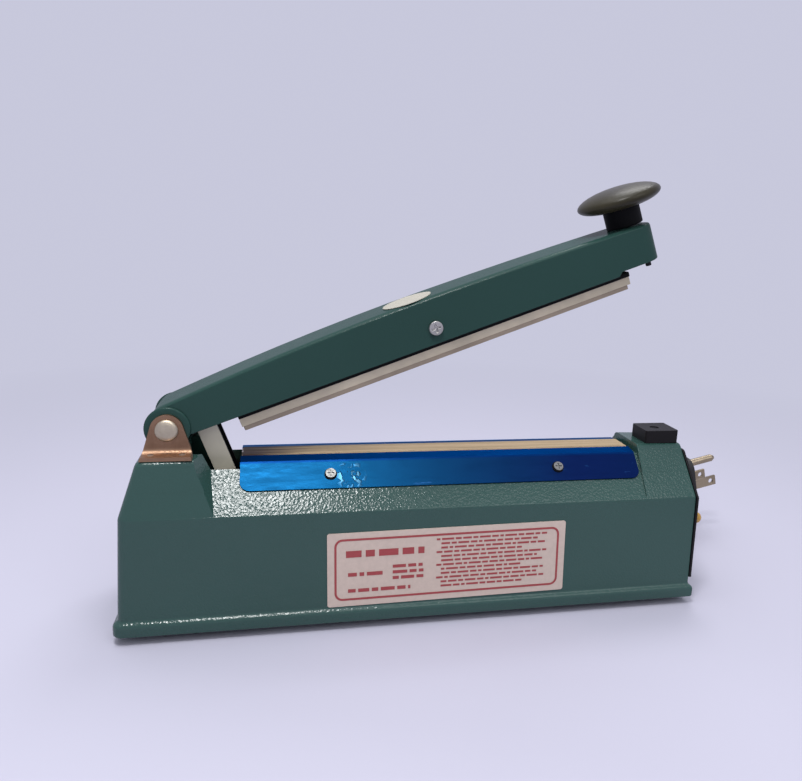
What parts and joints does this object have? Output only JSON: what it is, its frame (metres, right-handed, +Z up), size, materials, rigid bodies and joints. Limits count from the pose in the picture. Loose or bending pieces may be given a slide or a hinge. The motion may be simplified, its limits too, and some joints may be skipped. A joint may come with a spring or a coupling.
{
  "type": "bag heat sealer",
  "caption": "Hand-lever impulse bag sealer with a hammered green case, hinged pressing handle with mushroom knob, heated sealing bar, timer dial, lamp and mains lead",
  "frame": {"origin": "on the table under the middle of the sealer's box without its mains lead", "axes": "+X along the jaw from the hinge to the knob, +Y to the back, +Z up"},
  "size_m": [0.3648, 0.1383, 0.2241],
  "materials": {
    "green_enamel": "hammered enamel",
    "sheet_steel": "plain zinc-plated sheet",
    "bright_screws": "bright plated",
    "black_rubber": "matt moulded rubber",
    "black_panel": "fine grain",
    "black_knobs": "polished moulding",
    "label_film": "printed film, printing left out",
    "sticker_paper": "plain paper",
    "nickel_bracket": "warm nickel plate",
    "nickel_axle": "polished nickel",
    "beige_bar": "beige coated",
    "silicone": "matt silicone",
    "phenolic": "brown laminate",
    "ribbon": "flat resistance ribbon",
    "coated_cloth": "fluoropolymer-coated glass cloth",
    "blue_film": "blue protective film",
    "brass": "plain brass",
    "board": "glass-epoxy board",
    "amber_lens": "amber moulding",
    "core_iron": "varnished laminations",
    "coil_copper": "varnished copper wire",
    "red_wire": "insulated wire"
  },
  "bodies": {
    "base": {"housing": "green_enamel", "bottom_cover": "sheet_steel", "rubber_feet": "black_rubber", "cover_screws": "bright_screws", "end_panel": "black_panel", "panel_screws": "bright_screws", "label_plate": "label_film", "hinge_bracket_front": "nickel_bracket", "hinge_bracket_rear": "nickel_bracket", "bracket_screws": "sheet_steel", "hinge_axle": "nickel_axle", "return_spring": "sheet_steel", "spring_anchor": "sheet_steel", "seal_bar": "phenolic", "heating_ribbon": "ribbon", "release_cloth": "coated_cloth", "front_clamp_strip": "blue_film", "rear_clamp_strip": "blue_film", "clamp_screws": "bright_screws", "ribbon_terminals": "brass", "guide_block": "black_panel", "micro_switch": "black_panel", "switch_bracket": "sheet_steel", "timer_pot": "sheet_steel", "timer_board": "board", "board_parts": "black_panel", "lamp_bezel": "bright_screws", "lamp_lens": "amber_lens", "transformer_core": "core_iron", "transformer_coil": "coil_copper", "transformer_frame": "sheet_steel", "heater_leads": "red_wire", "cord_boot": "black_rubber", "lead_stretch": "black_rubber", "lead_hank": "black_rubber", "lead_tail": "black_rubber", "cord_tie": "black_panel", "plug_body": "black_rubber", "plug_prongs": "brass"},
    "handle": {"handle_shell": "green_enamel", "lever_arm": "sheet_steel", "pressure_bar": "beige_bar", "silicone_strip": "silicone", "handle_screw": "bright_screws", "hand_knob": "black_knobs", "knob_bolt": "sheet_steel", "switch_pin": "black_panel", "handle_sticker": "sticker_paper"},
    "dial": {"timer_dial": "black_knobs", "timer_shaft": "sheet_steel"},
    "plunger": {"switch_plunger": "black_panel"}
  },
  "joints": [
    {"name": "handle_close", "type": "hinge", "parent": "base", "child": "handle", "pos_m": [-0.12802, 0, 0.0986], "axis": [0, 1, 0], "range_deg": [0, 20.6], "stiffness_Nm_per_rad": 1.5, "springref_deg": -51.57, "deforming": ["return_spring"]},
    {"name": "timer_turn", "type": "hinge", "parent": "base", "child": "dial", "pos_m": [0.14547, 0.003, 0.038], "axis": [1, 0, 0], "range_deg": [-135, 135]},
    {"name": "plunger_press", "type": "slide", "parent": "base", "child": "plunger", "axis": [0, 0, -1], "range_m": [0, 0.0018]}
  ],
  "couplings": [
    {"joint": "plunger_press", "follows": "handle_close", "m_per_rad": 0.005}
  ]
}
